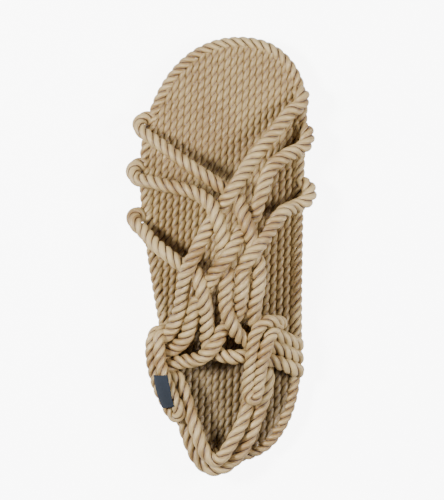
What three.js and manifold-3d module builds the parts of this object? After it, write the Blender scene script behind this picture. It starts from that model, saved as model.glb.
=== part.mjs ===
// Left rope sandal, modelled in millimetres with +Z up and +Y towards the toe.
// The wearer's inner (medial) side is +X. The origin lies on the ground under the
// middle of the heel seat.
//
// A thin rubber outsole carries a footbed of cords laid side by side. A rim rope
// runs round the footbed. Six strap ropes come out of the sole's side, three on
// each side, cross over the instep and go down into the sole's side across from
// where they started. A doubled rope loop lies over them at each side of the
// ankle and holds the two ropes of the heel strap.

import * as THREE from 'three';
import { mergeVertices } from 'three/addons/utils/BufferGeometryUtils.js';
import Module from 'manifold-3d';

const wasm = await Module();
wasm.setup();

// Driving dimensions
const SOLE_LENGTH = 267;
const BALL_WIDTH = 104;
const HEEL_SEAT = 40; // from the back of the heel to the middle of its seat
const OUTSOLE_THICKNESS = 5;
const OUTSOLE_INSET = 2.4; // how far the rubber lies inside the rim rope
const OUTSOLE_BEVEL = 1;
const FOOTBED_THICKNESS = 9;
const FOOTBED_EDGE = 1.6; // how far the footbed's outermost cords are rounded down
const CORD_PITCH_TOE = 3.95;
const CORD_PITCH_HEEL = 4.4;
const CORD_GROOVE = 1.3;
const RIM_WIDTH = 7.6;
const RIM_HEIGHT = 9.8;
const ROPE = 8; // diameter of the strap ropes
const INSTEP_HEIGHT = 32; // from the footbed to the ropes over the instep
const CROSSING = 0.84; // distance of two crossing ropes, in rope diameters
const TOE_SPRING = 4;
const ARCH_RISE = 1;
const LABEL_THICKNESS = 1.1;
const CLEARANCE = 0.3;
const FOOTBED_GAP = 0.6; // between the footbed's edge and the rim rope's facets

// How finely the ropes are faceted
const ROPE_SIDES = 8;
const ROPE_STEP = 6.5;
const RIM_STEP = 8;

// The sole's edge seen from above: across in ball widths from the heel's middle,
// with the inner side positive, and along in sole lengths from the back of the heel
const OUTLINE = [
  { across: 0.04, along: 0.0 },
  { across: -0.1, along: 0.012 },
  { across: -0.22, along: 0.042 },
  { across: -0.31, along: 0.09 },
  { across: -0.37, along: 0.155 },
  { across: -0.43, along: 0.255 },
  { across: -0.52, along: 0.39 },
  { across: -0.6, along: 0.525 },
  { across: -0.65, along: 0.64 },
  { across: -0.657, along: 0.735 },
  { across: -0.61, along: 0.83 },
  { across: -0.52, along: 0.905 },
  { across: -0.4, along: 0.957 },
  { across: -0.25, along: 0.989 },
  { across: -0.08, along: 1.0 },
  { across: 0.07, along: 0.991 },
  { across: 0.19, along: 0.962 },
  { across: 0.275, along: 0.918 },
  { across: 0.322, along: 0.86 },
  { across: 0.332, along: 0.76 },
  { across: 0.352, along: 0.6 },
  { across: 0.379, along: 0.43 },
  { across: 0.408, along: 0.26 },
  { across: 0.404, along: 0.17 },
  { across: 0.35, along: 0.092 },
  { across: 0.242, along: 0.033 },
];

// Where the sections of outsole and footbed lie. The sole is flat up to ARCH.from,
// from ARCH.to to SPRING_FROM, and curves elsewhere.
const ARCH = { from: 0.26, to: 0.6 };
const SPRING_FROM = 0.76;
const SOLE_STATIONS = [
  0.004, 0.015, 0.035, 0.065, 0.11, 0.17, ARCH.from, 0.33, 0.385, 0.43, 0.475, 0.53, ARCH.to,
  0.68, SPRING_FROM, 0.82, 0.87, 0.91, 0.94, 0.965, 0.982, 0.996,
];

// Height of the ropes over the middle of the foot, as shares of INSTEP_HEIGHT
const CROWN = [
  { along: 0.2, height: 0.36 },
  { along: 0.25, height: 0.46 },
  { along: 0.3, height: 0.56 },
  { along: 0.35, height: 0.72 },
  { along: 0.43, height: 0.95 },
  { along: 0.5, height: 1.0 },
  { along: 0.6, height: 0.88 },
  { along: 0.7, height: 0.66 },
  { along: 0.8, height: 0.42 },
  { along: 0.88, height: 0.25 },
  { along: 0.95, height: 0.12 },
];

// The strap ropes. A row with over lies on the instep's dome: 1 passes over the
// rope that it crosses, -1 under it. A row with rise gives the rope's height above
// the outsole instead, in rope diameters, where it leaves the sole or lies on it.
const STRAPS = {
  outer_front: [
    { across: -0.602, along: 0.794, rise: 0.7 },
    { across: -0.652, along: 0.792, rise: 1.0 },
    { across: -0.681, along: 0.778, rise: 1.4 },
    { across: -0.663, along: 0.761, rise: 1.9 },
    { across: -0.59, along: 0.743, over: 0 },
    { across: -0.485, along: 0.718, over: 0 },
    { across: -0.385, along: 0.693, over: 0 },
    { across: -0.27, along: 0.668, over: 0 },
    { across: -0.175, along: 0.648, over: -0.7 },
    { across: -0.1, along: 0.632, over: -1 },
    { across: -0.04, along: 0.608, over: -0.3 },
    { across: -0.012, along: 0.583, over: 0.6 },
    { across: 0.018, along: 0.557, over: 1 },
    { across: 0.045, along: 0.527, over: 0 },
    { across: 0.066, along: 0.497, over: -1 },
    { across: 0.098, along: 0.474, over: -0.4 },
    { across: 0.11, along: 0.445, over: 0 },
    { across: 0.11, along: 0.415, over: 0 },
    { across: 0.1, along: 0.385, over: 0 },
    { across: 0.098, along: 0.352, over: -0.4 },
    { across: 0.125, along: 0.327, over: -1 },
    { across: 0.19, along: 0.315, over: -0.9 },
    { across: 0.262, along: 0.306, rise: 2.7 },
    { across: 0.335, along: 0.296, rise: 1.95 },
    { across: 0.368, along: 0.291, rise: 1.4 },
    { across: 0.375, along: 0.289, rise: 0.85 },
    { across: 0.355, along: 0.288, rise: 0.58 },
  ],
  outer_middle: [
    { across: -0.625, along: 0.683, rise: 0.7 },
    { across: -0.676, along: 0.68, rise: 1.0 },
    { across: -0.695, along: 0.664, rise: 1.4 },
    { across: -0.662, along: 0.647, rise: 1.9 },
    { across: -0.585, along: 0.643, over: 0 },
    { across: -0.49, along: 0.637, over: 0 },
    { across: -0.4, along: 0.632, over: 0 },
    { across: -0.315, along: 0.625, over: 0 },
    { across: -0.255, along: 0.614, over: 0.3 },
    { across: -0.205, along: 0.598, over: 0.8 },
    { across: -0.17, along: 0.573, over: 1 },
    { across: -0.138, along: 0.545, over: 0.6 },
    { across: -0.12, along: 0.515, over: 0 },
    { across: -0.122, along: 0.487, over: -0.8 },
    { across: -0.105, along: 0.464, over: -1 },
    { across: -0.08, along: 0.441, over: -0.4 },
    { across: -0.08, along: 0.415, over: 0 },
    { across: -0.078, along: 0.385, over: 0.2 },
    { across: -0.062, along: 0.353, over: 0.9 },
    { across: -0.035, along: 0.331, over: 1 },
    { across: 0.0, along: 0.31, over: 0.6 },
    { across: 0.045, along: 0.295, over: -0.2 },
    { across: 0.1, along: 0.287, over: -1 },
    { across: 0.175, along: 0.284, over: -0.9 },
    { across: 0.262, along: 0.279, rise: 2.6 },
    { across: 0.338, along: 0.267, rise: 1.95 },
    { across: 0.374, along: 0.261, rise: 1.4 },
    { across: 0.38, along: 0.258, rise: 0.85 },
    { across: 0.36, along: 0.256, rise: 0.58 },
  ],
  outer_rear: [
    { across: -0.605, along: 0.562, rise: 0.7 },
    { across: -0.642, along: 0.568, rise: 1.0 },
    { across: -0.668, along: 0.56, rise: 1.4 },
    { across: -0.657, along: 0.545, rise: 1.9 },
    { across: -0.6, along: 0.526, rise: 2.35 },
    { across: -0.53, along: 0.5, over: 0 },
    { across: -0.462, along: 0.482, over: 0 },
    { across: -0.395, along: 0.465, over: -0.5 },
    { across: -0.345, along: 0.454, over: -0.9 },
    { across: -0.3, along: 0.448, over: -1 },
    { across: -0.258, along: 0.436, over: -0.2 },
    { across: -0.23, along: 0.412, over: 0.7 },
    { across: -0.205, along: 0.38, over: 1 },
    { across: -0.182, along: 0.345, over: 0.3 },
    { across: -0.172, along: 0.31, over: 0 },
    { across: -0.168, along: 0.284, over: -0.7 },
    { across: -0.145, along: 0.263, over: -1 },
    { across: -0.1, along: 0.255, over: -0.7 },
    { across: -0.055, along: 0.252, over: -0.2 },
    { across: -0.012, along: 0.25, over: 0 },
    { across: 0.03, along: 0.252, over: -0.2 },
    { across: 0.09, along: 0.257, over: -1 },
    { across: 0.168, along: 0.253, over: -0.9 },
    { across: 0.25, along: 0.248, rise: 2.5 },
    { across: 0.34, along: 0.237, rise: 1.95 },
    { across: 0.382, along: 0.23, rise: 1.4 },
    { across: 0.388, along: 0.227, rise: 0.85 },
    { across: 0.358, along: 0.225, rise: 0.58 },
  ],
  inner_front: [
    { across: 0.262, along: 0.882, rise: 0.9 },
    { across: 0.282, along: 0.877, rise: 1.3 },
    { across: 0.29, along: 0.864, rise: 1.75 },
    { across: 0.27, along: 0.846, rise: 2.05 },
    { across: 0.221, along: 0.831, over: 0 },
    { across: 0.178, along: 0.805, over: 0 },
    { across: 0.118, along: 0.769, over: 0 },
    { across: 0.055, along: 0.735, over: 0 },
    { across: 0.018, along: 0.711, over: 0 },
    { across: -0.014, along: 0.69, over: 0.2 },
    { across: -0.045, along: 0.666, over: 0.7 },
    { across: -0.085, along: 0.638, over: 1 },
    { across: -0.122, along: 0.611, over: 0 },
    { across: -0.163, along: 0.582, over: -1 },
    { across: -0.205, along: 0.552, over: -0.4 },
    { across: -0.241, along: 0.521, over: 0 },
    { across: -0.275, along: 0.487, over: 0.5 },
    { across: -0.31, along: 0.453, over: 1 },
    { across: -0.328, along: 0.424, over: 0.6 },
    { across: -0.335, along: 0.395, over: 0 },
    { across: -0.34, along: 0.365, over: 0 },
    { across: -0.352, along: 0.335, over: 0 },
    { across: -0.38, along: 0.304, over: 0 },
    { across: -0.418, along: 0.286, rise: 2.6 },
    { across: -0.455, along: 0.275, rise: 2.2 },
    { across: -0.475, along: 0.27, rise: 1.45 },
    { across: -0.468, along: 0.268, rise: 0.85 },
    { across: -0.405, along: 0.267, rise: 0.58 },
  ],
  inner_middle: [
    { across: 0.29, along: 0.798, rise: 0.7 },
    { across: 0.322, along: 0.794, rise: 1.0 },
    { across: 0.338, along: 0.778, rise: 1.45 },
    { across: 0.325, along: 0.757, rise: 1.95 },
    { across: 0.288, along: 0.744, rise: 2.2 },
    { across: 0.24, along: 0.734, over: 0 },
    { across: 0.184, along: 0.718, over: 0 },
    { across: 0.135, along: 0.697, over: 0 },
    { across: 0.108, along: 0.671, over: 0 },
    { across: 0.087, along: 0.635, over: 0 },
    { across: 0.07, along: 0.605, over: 0 },
    { across: 0.052, along: 0.58, over: -0.7 },
    { across: 0.018, along: 0.559, over: -1 },
    { across: -0.025, along: 0.54, over: -0.5 },
    { across: -0.05, along: 0.512, over: 0.2 },
    { across: -0.077, along: 0.487, over: 0.8 },
    { across: -0.11, along: 0.467, over: 1 },
    { across: -0.147, along: 0.445, over: 0.3 },
    { across: -0.177, along: 0.42, over: -0.4 },
    { across: -0.212, along: 0.391, over: -1 },
    { across: -0.25, along: 0.363, over: -0.5 },
    { across: -0.265, along: 0.333, over: 0 },
    { across: -0.278, along: 0.308, over: 0 },
    { across: -0.302, along: 0.283, over: 0 },
    { across: -0.345, along: 0.264, over: 0 },
    { across: -0.395, along: 0.252, rise: 2.45 },
    { across: -0.44, along: 0.243, rise: 2.1 },
    { across: -0.468, along: 0.237, rise: 1.45 },
    { across: -0.458, along: 0.234, rise: 0.85 },
    { across: -0.39, along: 0.233, rise: 0.58 },
  ],
  inner_rear: [
    { across: 0.306, along: 0.668, rise: 0.7 },
    { across: 0.355, along: 0.664, rise: 1.0 },
    { across: 0.378, along: 0.647, rise: 1.45 },
    { across: 0.358, along: 0.627, rise: 1.95 },
    { across: 0.295, along: 0.612, rise: 2.4 },
    { across: 0.22, along: 0.594, over: 0 },
    { across: 0.172, along: 0.567, over: 0 },
    { across: 0.13, along: 0.535, over: 0.3 },
    { across: 0.085, along: 0.508, over: 1 },
    { across: 0.04, along: 0.482, over: 0.6 },
    { across: 0.014, along: 0.457, over: 0 },
    { across: 0.013, along: 0.43, over: 0 },
    { across: 0.016, along: 0.4, over: 0 },
    { across: 0.01, along: 0.37, over: -0.3 },
    { across: -0.01, along: 0.345, over: -0.9 },
    { across: -0.045, along: 0.328, over: -1 },
    { across: -0.085, along: 0.307, over: -0.1 },
    { across: -0.112, along: 0.281, over: 0.8 },
    { across: -0.148, along: 0.26, over: 1 },
    { across: -0.195, along: 0.243, over: 0.6 },
    { across: -0.258, along: 0.234, over: 0 },
    { across: -0.32, along: 0.228, over: 0 },
    { across: -0.38, along: 0.218, rise: 2.35 },
    { across: -0.425, along: 0.21, rise: 2.0 },
    { across: -0.452, along: 0.204, rise: 1.45 },
    { across: -0.44, along: 0.201, rise: 0.85 },
    { across: -0.372, along: 0.2, rise: 0.58 },
  ],
};

// The doubled loops at the ankle, from one end over the straps to the bend that
// holds the heel strap and back to the other end
const LOOPS = {
  outer: [
    { across: -0.448, along: 0.297, rise: 1.85 },
    { across: -0.475, along: 0.295, rise: 2.35 },
    { across: -0.494, along: 0.28, rise: 2.85 },
    { across: -0.5, along: 0.26, rise: 2.95 },
    { across: -0.494, along: 0.238, rise: 2.9 },
    { across: -0.481, along: 0.214, rise: 2.85 },
    { across: -0.459, along: 0.188, rise: 2.75 },
    { across: -0.434, along: 0.163, rise: 2.7 },
    { across: -0.394, along: 0.137, rise: 2.65 },
    { across: -0.358, along: 0.114, rise: 2.65 },
    { across: -0.323, along: 0.101, rise: 2.85 },
    { across: -0.3, along: 0.108, rise: 3.2 },
    { across: -0.312, along: 0.126, rise: 3.45 },
    { across: -0.337, along: 0.143, rise: 3.5 },
    { across: -0.37, along: 0.168, rise: 3.5 },
    { across: -0.405, along: 0.196, rise: 3.45 },
    { across: -0.434, along: 0.222, rise: 3.4 },
    { across: -0.445, along: 0.245, rise: 3.4 },
    { across: -0.452, along: 0.265, rise: 3.35 },
    { across: -0.456, along: 0.282, rise: 3.1 },
    { across: -0.445, along: 0.296, rise: 2.4 },
    { across: -0.43, along: 0.303, rise: 1.85 },
  ],
  inner: [
    { across: 0.268, along: 0.337, rise: 1.8 },
    { across: 0.256, along: 0.34, rise: 2.5 },
    { across: 0.222, along: 0.341, rise: 3.3 },
    { across: 0.18, along: 0.339, rise: 3.9 },
    { across: 0.142, along: 0.328, rise: 4.15 },
    { across: 0.116, along: 0.305, rise: 4.2 },
    { across: 0.108, along: 0.275, rise: 4.05 },
    { across: 0.104, along: 0.242, rise: 3.8 },
    { across: 0.1, along: 0.208, rise: 3.35 },
    { across: 0.1, along: 0.176, rise: 3.1 },
    { across: 0.115, along: 0.156, rise: 3.05 },
    { across: 0.143, along: 0.157, rise: 3.05 },
    { across: 0.158, along: 0.178, rise: 3.1 },
    { across: 0.162, along: 0.21, rise: 3.35 },
    { across: 0.171, along: 0.243, rise: 3.9 },
    { across: 0.184, along: 0.274, rise: 4.1 },
    { across: 0.2, along: 0.3, rise: 4.0 },
    { across: 0.222, along: 0.318, rise: 3.3 },
    { across: 0.244, along: 0.329, rise: 2.6 },
    { across: 0.256, along: 0.334, rise: 1.8 },
  ],
};

// The heel strap's two ropes, from the outer loop round the heel to the inner one
const HEEL_STRAP = {
  upper: [
    { across: -0.372, along: 0.196, rise: 2.2 },
    { across: -0.335, along: 0.193, rise: 2.45 },
    { across: -0.288, along: 0.165, rise: 2.65 },
    { across: -0.25, along: 0.128, rise: 2.75 },
    { across: -0.215, along: 0.094, rise: 2.8 },
    { across: -0.178, along: 0.061, rise: 2.85 },
    { across: -0.138, along: 0.03, rise: 2.85 },
    { across: -0.09, along: 0.009, rise: 2.85 },
    { across: -0.045, along: 0.007, rise: 2.8 },
    { across: -0.008, along: 0.025, rise: 2.7 },
    { across: 0.028, along: 0.052, rise: 2.6 },
    { across: 0.065, along: 0.082, rise: 2.4 },
    { across: 0.094, along: 0.117, rise: 2.15 },
    { across: 0.112, along: 0.155, rise: 1.9 },
    { across: 0.122, along: 0.192, rise: 1.75 },
    { across: 0.14, along: 0.222, rise: 1.72 },
    { across: 0.18, along: 0.236, rise: 1.72 },
  ],
  lower: [
    { across: -0.38, along: 0.197, rise: 2.1 },
    { across: -0.365, along: 0.174, rise: 1.95 },
    { across: -0.315, along: 0.132, rise: 1.85 },
    { across: -0.272, along: 0.088, rise: 1.85 },
    { across: -0.226, along: 0.044, rise: 1.85 },
    { across: -0.162, along: 0.002, rise: 1.9 },
    { across: -0.09, along: -0.016, rise: 1.9 },
    { across: -0.02, along: -0.012, rise: 1.9 },
    { across: 0.05, along: 0.008, rise: 1.85 },
    { across: 0.106, along: 0.042, rise: 1.8 },
    { across: 0.148, along: 0.084, rise: 1.75 },
    { across: 0.182, along: 0.13, rise: 1.72 },
    { across: 0.21, along: 0.175, rise: 1.72 },
    { across: 0.216, along: 0.208, rise: 1.72 },
    { across: 0.2, along: 0.232, rise: 1.72 },
    { across: 0.165, along: 0.235, rise: 1.72 },
  ],
};

// Which part of the outer loop carries the label, as shares of the loop's length
// on its way out and on its way back
const LABEL_SPAN = { out: [0.26, 0.42], back: [0.735, 0.575] };

// The label's sides, each from its top corner to its bottom one
const LABEL_OUTER = [2.8, 1.8]; // from the outer rope's middle to the label's edge, towards the inner rope
const LABEL_INNER = [4.6, 2.5]; // from the inner rope's middle to the label's edge, past it

const COLOURS = {
  rubber: 0xb6987a,
  footbed: 0xa88e70,
  rim: 0xc2ab86,
  strap: 0xc8b494,
  label: 0x2d4160,
};

const footbedBottom = OUTSOLE_THICKNESS + CLEARANCE;
const footbedTop = footbedBottom + FOOTBED_THICKNESS;

const toX = (across) => across * BALL_WIDTH;
const toY = (along) => along * SOLE_LENGTH - HEEL_SEAT;
const toAlong = (y) => (y + HEEL_SEAT) / SOLE_LENGTH;

// How far the sole curves up from the ground at a place along it
function lift(along) {
  if (along > SPRING_FROM) {
    return TOE_SPRING * ((along - SPRING_FROM) / (1 - SPRING_FROM)) ** 2;
  }
  if (along > ARCH.from && along < ARCH.to) {
    return ARCH_RISE * Math.sin((Math.PI * (along - ARCH.from)) / (ARCH.to - ARCH.from)) ** 2;
  }
  return 0;
}

// The sole's edge as a closed polygon, moved inwards by a distance
const EDGE_POINTS = 260;
const edgeCurve = new THREE.CatmullRomCurve3(
  OUTLINE.map((row) => new THREE.Vector3(toX(row.across), toY(row.along), 0)),
  true,
  'centripetal',
);

function edge(inset, count = EDGE_POINTS) {
  const points = edgeCurve.getSpacedPoints(count).slice(0, count);
  return points.map((point, i) => {
    const next = points[(i + 1) % count];
    const last = points[(i + count - 1) % count];
    const tangent = next.clone().sub(last).normalize();
    return new THREE.Vector3(point.x + tangent.y * inset, point.y - tangent.x * inset, 0);
  });
}

// Lowest and highest x of a closed polygon at a height y
function span(polygon, y) {
  const hits = [];
  polygon.forEach((a, i) => {
    const b = polygon[(i + 1) % polygon.length];
    if (a.y > y !== b.y > y) hits.push(a.x + ((y - a.y) / (b.y - a.y)) * (b.x - a.x));
  });
  return [Math.min(...hits), Math.max(...hits)];
}

function interpolate(table, along, column) {
  if (along <= table[0].along) return table[0][column];
  const next = table.findIndex((row) => row.along > along);
  if (next < 0) return table[table.length - 1][column];
  const [a, b] = [table[next - 1], table[next]];
  return a[column] + ((along - a.along) / (b.along - a.along)) * (b[column] - a[column]);
}

// Height of the strap ropes on the instep's dome, which meets the sole's two edges
const DOME_MARGIN = 1.04; // the dome's half-width, in half-widths of the sole
const DOME_POWER = 0.75; // 0.5 would be an ellipse, 1 a parabola
const plainEdge = edge(0);

function domeHeight(x, y) {
  const [low, high] = span(plainEdge, y);
  const side = (x - (low + high) / 2) / (((high - low) / 2) * DOME_MARGIN);
  const crown = INSTEP_HEIGHT * interpolate(CROWN, toAlong(y), 'height');
  return footbedTop + ROPE / 2 + crown * Math.max(0, 1 - side * side) ** DOME_POWER;
}

function route(rows) {
  const points = rows.map((row) => {
    const [x, y] = [toX(row.across), toY(row.along)];
    const z = row.rise === undefined
      ? domeHeight(x, y) + (row.over * CROSSING * ROPE) / 2
      : footbedBottom + row.rise * ROPE;
    return new THREE.Vector3(x, y, z + lift(row.along));
  });
  return new THREE.CatmullRomCurve3(points, false, 'centripetal');
}

const WELD = 1e-4; // points closer than this are one point

function solid(geometry) {
  const bare = geometry.clone();
  bare.deleteAttribute('normal');
  bare.deleteAttribute('uv');
  const merged = mergeVertices(bare, WELD);
  return new wasm.Manifold(new wasm.Mesh({
    numProp: 3,
    vertProperties: new Float32Array(merged.attributes.position.array),
    triVerts: new Uint32Array(merged.index.array),
  }));
}

function geometryOf(shape) {
  const { vertProperties, triVerts } = shape.getMesh();
  const geometry = new THREE.BufferGeometry();
  geometry.setAttribute('position', new THREE.BufferAttribute(new Float32Array(vertProperties), 3));
  geometry.setIndex(new THREE.BufferAttribute(new Uint32Array(triVerts), 1));
  return geometry;
}

// A round rope along a curve, wider and longer by a clearance where it is used to cut.
// It is joined from convex pieces, so a tight bend doesn't fold into itself.
function ropeSolid(curve, clearance = 0) {
  const steps = Math.ceil(curve.getLength() / ROPE_STEP);
  const { tangents, normals, binormals } = curve.computeFrenetFrames(steps, false);
  const radius = ROPE / 2 + clearance;
  const ring = (i, ahead) => Array.from({ length: ROPE_SIDES }, (_, k) => {
    const angle = (2 * Math.PI * (k + 0.5)) / ROPE_SIDES;
    return curve.getPointAt(i / steps)
      .addScaledVector(normals[i], radius * Math.cos(angle))
      .addScaledVector(binormals[i], radius * Math.sin(angle))
      .addScaledVector(tangents[i], ahead)
      .toArray();
  });
  const rings = Array.from({ length: steps + 1 }, (_, i) => ring(i, 0));
  if (clearance) {
    rings.unshift(ring(0, -clearance));
    rings.push(ring(steps, clearance));
  }
  const pieces = rings.slice(1).map((next, i) => wasm.Manifold.hull([...rings[i], ...next]));
  return wasm.Manifold.union(pieces);
}

// Joins rings of points, each with the same number of corners, into a closed surface
function loft(rings, closed) {
  const corners = rings[0].length;
  const positions = rings.flat().flatMap((point) => point.toArray());
  const index = [];
  const last = closed ? rings.length : rings.length - 1;
  for (let i = 0; i < last; i += 1) {
    const next = (i + 1) % rings.length;
    for (let k = 0; k < corners; k += 1) {
      const [a, b] = [i * corners + k, i * corners + ((k + 1) % corners)];
      const [c, d] = [next * corners + ((k + 1) % corners), next * corners + k];
      index.push(a, b, c, a, c, d);
    }
  }
  if (!closed) {
    const end = (rings.length - 1) * corners;
    for (let k = 1; k < corners - 1; k += 1) {
      index.push(0, k + 1, k, end, end + k, end + k + 1);
    }
  }
  const geometry = new THREE.BufferGeometry();
  geometry.setAttribute('position', new THREE.Float32BufferAttribute(positions, 3));
  geometry.setIndex(index);
  return geometry;
}

// The rubber sole, lofted from sections across it
function outsole() {
  const polygon = edge(OUTSOLE_INSET);
  const low = Math.min(...polygon.map((point) => point.y));
  const high = Math.max(...polygon.map((point) => point.y));
  return loft(SOLE_STATIONS.map((along) => {
    const y = low + along * (high - low);
    const [left, right] = span(polygon, y);
    const base = lift(toAlong(y));
    const top = base + OUTSOLE_THICKNESS;
    return [
      new THREE.Vector3(left + OUTSOLE_BEVEL, y, base),
      new THREE.Vector3(left, y, base + OUTSOLE_BEVEL),
      new THREE.Vector3(left, y, top),
      new THREE.Vector3(right, y, top),
      new THREE.Vector3(right, y, base + OUTSOLE_BEVEL),
      new THREE.Vector3(right - OUTSOLE_BEVEL, y, base),
    ];
  }), false);
}

// The footbed: ridges of cord side by side, fanning out towards the heel
const FOOTBED_STATIONS = 13;
const STRAIGHT_EDGE = { from: 0.26, to: 0.76 }; // where the inner edge is nearly straight
const SHORTEST_CORD = 0.12; // in sole lengths
const SEARCH_STEPS = 400;

function footbed() {
  const polygon = edge(RIM_WIDTH + FOOTBED_GAP);
  const inner = (along) => span(polygon, toY(along))[1];
  const pitch = (along) => CORD_PITCH_HEEL + along * (CORD_PITCH_TOE - CORD_PITCH_HEEL);
  const [heelward, toeward] = [inner(STRAIGHT_EDGE.from), inner(STRAIGHT_EDGE.to)];
  const slope = (toeward - heelward) / (STRAIGHT_EDGE.to - STRAIGHT_EDGE.from);
  const edgeLine = (along) => heelward + (along - STRAIGHT_EDGE.from) * slope;
  const line = (count, along) => edgeLine(along) - count * pitch(along);
  const inside = (count, along) => {
    const y = toY(along);
    const hits = span(polygon, y);
    const x = line(count, along);
    return Number.isFinite(hits[0]) && x > hits[0] && x < hits[1];
  };
  const reach = (count) => {
    const found = [];
    for (let i = 1; i < SEARCH_STEPS; i += 1) {
      if (inside(count, i / SEARCH_STEPS)) found.push(i / SEARCH_STEPS);
    }
    const unbroken = found.length && found[found.length - 1] - found[0] < found.length / SEARCH_STEPS;
    return unbroken ? [found[0], found[found.length - 1]] : null;
  };
  const lines = [];
  const mostLines = (3 * BALL_WIDTH) / CORD_PITCH_TOE; // at half the cords' pitch, more than there is room for
  for (let half = -1; half < mostLines; half += 1) {
    const range = reach(half / 2);
    if (range && range[1] - range[0] > SHORTEST_CORD) {
      lines.push({ count: half / 2, range, ridge: half % 2 !== 0 });
    }
  }
  const corner = (entry, share, top) => {
    const along = entry.range[0] + share * (entry.range[1] - entry.range[0]);
    const outermost = entry === lines[0] || entry === lines[lines.length - 1];
    const drop = (entry.ridge ? 0 : CORD_GROOVE) + (outermost ? FOOTBED_EDGE : 0);
    const z = (top ? footbedTop - drop : footbedBottom) + lift(along);
    return new THREE.Vector3(line(entry.count, along), toY(along), z);
  };
  const shares = Array.from({ length: FOOTBED_STATIONS }, (_, i) => i / (FOOTBED_STATIONS - 1));
  return loft(lines.map((entry) => [
    ...shares.map((share) => corner(entry, share, true)),
    ...shares.slice().reverse().map((share) => corner(entry, share, false)),
  ]), false);
}

// The rim rope, pressed taller than wide
function rimRope() {
  const count = Math.round(edgeCurve.getLength() / RIM_STEP);
  const centre = edge(RIM_WIDTH / 2, count);
  return loft(centre.map((point, i) => {
    const next = centre[(i + 1) % count];
    const last = centre[(i + count - 1) % count];
    const tangent = next.clone().sub(last).normalize();
    const middle = footbedBottom + RIM_HEIGHT / 2 + lift(toAlong(point.y));
    return Array.from({ length: ROPE_SIDES }, (_, k) => {
      const angle = (2 * Math.PI * (k + 0.5)) / ROPE_SIDES;
      const out = (RIM_WIDTH / 2) * Math.cos(angle);
      return new THREE.Vector3(
        point.x - tangent.y * out,
        point.y + tangent.x * out,
        middle + (RIM_HEIGHT / 2) * Math.sin(angle),
      );
    });
  }), true);
}

// The label: a flat tab that bridges the outer loop's two ropes
const LABEL_STEPS = 4;

function label(curve) {
  const mix = (range, share) => range[0] + share * (range[1] - range[0]);
  const rise = ROPE / 2 + CLEARANCE;
  return loft(Array.from({ length: LABEL_STEPS + 1 }, (_, i) => {
    const share = i / LABEL_STEPS;
    const out = curve.getPointAt(mix(LABEL_SPAN.out, share));
    const back = curve.getPointAt(mix(LABEL_SPAN.back, share));
    const ahead = curve.getTangentAt(mix(LABEL_SPAN.out, share));
    const [outer, inner] = [mix(LABEL_OUTER, share), mix(LABEL_INNER, share)];
    const width = back.clone().sub(out).normalize();
    const up = new THREE.Vector3().crossVectors(width, ahead).normalize();
    if (up.z < 0) up.negate();
    const corner = (point, along, extra) => point.clone()
      .addScaledVector(width, along)
      .addScaledVector(up, rise + extra);
    return [
      corner(out, outer, 0),
      corner(back, inner, 0),
      corner(back, inner, LABEL_THICKNESS),
      corner(out, outer, LABEL_THICKNESS),
    ];
  }), false);
}

// A node's mesh with its own material
const group = new THREE.Group();

function add(name, geometry, colour, roughness) {
  geometry.computeVertexNormals();
  const material = new THREE.MeshStandardMaterial({ color: colour, roughness, metalness: 0 });
  const mesh = new THREE.Mesh(geometry, material);
  mesh.name = name;
  group.add(mesh);
}

const strapCurves = Object.values(STRAPS).map(route);
const loopCurves = { outer: route(LOOPS.outer), inner: route(LOOPS.inner) };
const heelCurves = Object.values(HEEL_STRAP).map(route);
const join = (shapes) => shapes.reduce((sum, shape) => sum.add(shape));

// The largest closed surface of a shape: no sealed pockets between crossing ropes
// and no crumbs left by a cut
const outermost = (shape) => shape.decompose()
  .reduce((largest, piece) => (piece.volume() > largest.volume() ? piece : largest));

const straps = outermost(join(strapCurves.map((curve) => ropeSolid(curve))));
const strapRoom = join(strapCurves.map((curve) => ropeSolid(curve, CLEARANCE)));
const heelStrap = outermost(join(heelCurves.map((curve) => ropeSolid(curve))).subtract(strapRoom));
const heelRoom = join(heelCurves.map((curve) => ropeSolid(curve, CLEARANCE)));
const loops = {
  outer: outermost(ropeSolid(loopCurves.outer).subtract(strapRoom).subtract(heelRoom)),
  inner: outermost(ropeSolid(loopCurves.inner).subtract(strapRoom).subtract(heelRoom)),
};
const rim = outermost(solid(rimRope()).subtract(strapRoom).subtract(heelRoom));

add('outsole', outsole(), COLOURS.rubber, 0.85);
add('footbed', footbed(), COLOURS.footbed, 0.9);
add('rim_rope', geometryOf(rim), COLOURS.rim, 0.85);
add('upper_straps', geometryOf(straps), COLOURS.strap, 0.85);
add('outer_ankle_loop', geometryOf(loops.outer), COLOURS.strap, 0.85);
add('inner_ankle_loop', geometryOf(loops.inner), COLOURS.strap, 0.85);
add('heel_strap', geometryOf(heelStrap), COLOURS.strap, 0.85);
add('label', label(loopCurves.outer), COLOURS.label, 0.9);

export default group;
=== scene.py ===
# Left rope sandal: ropes, corded footbed, rubber outsole and cloth label, dressed over
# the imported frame. Metres, +Z up, +Y towards the toe, +X towards the wearer's inner side.

import math

import bmesh
import bpy
from bpy.props import FloatProperty, FloatVectorProperty, IntProperty, PointerProperty
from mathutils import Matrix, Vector


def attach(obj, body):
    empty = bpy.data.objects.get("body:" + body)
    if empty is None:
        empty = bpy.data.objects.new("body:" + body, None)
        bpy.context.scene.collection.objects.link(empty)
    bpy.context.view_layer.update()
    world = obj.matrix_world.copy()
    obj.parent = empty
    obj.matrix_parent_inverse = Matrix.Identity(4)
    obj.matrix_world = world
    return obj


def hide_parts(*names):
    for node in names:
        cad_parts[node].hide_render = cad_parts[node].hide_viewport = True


bl_info = {
    "name": "Rope sandal",
    "version": (1, 0, 0),
    "blender": (4, 5, 0),
    "location": "View3D > Sidebar > Rope sandal",
    "description": "Builds a left sandal of laid rope on a corded footbed",
    "category": "Object",
}

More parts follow.
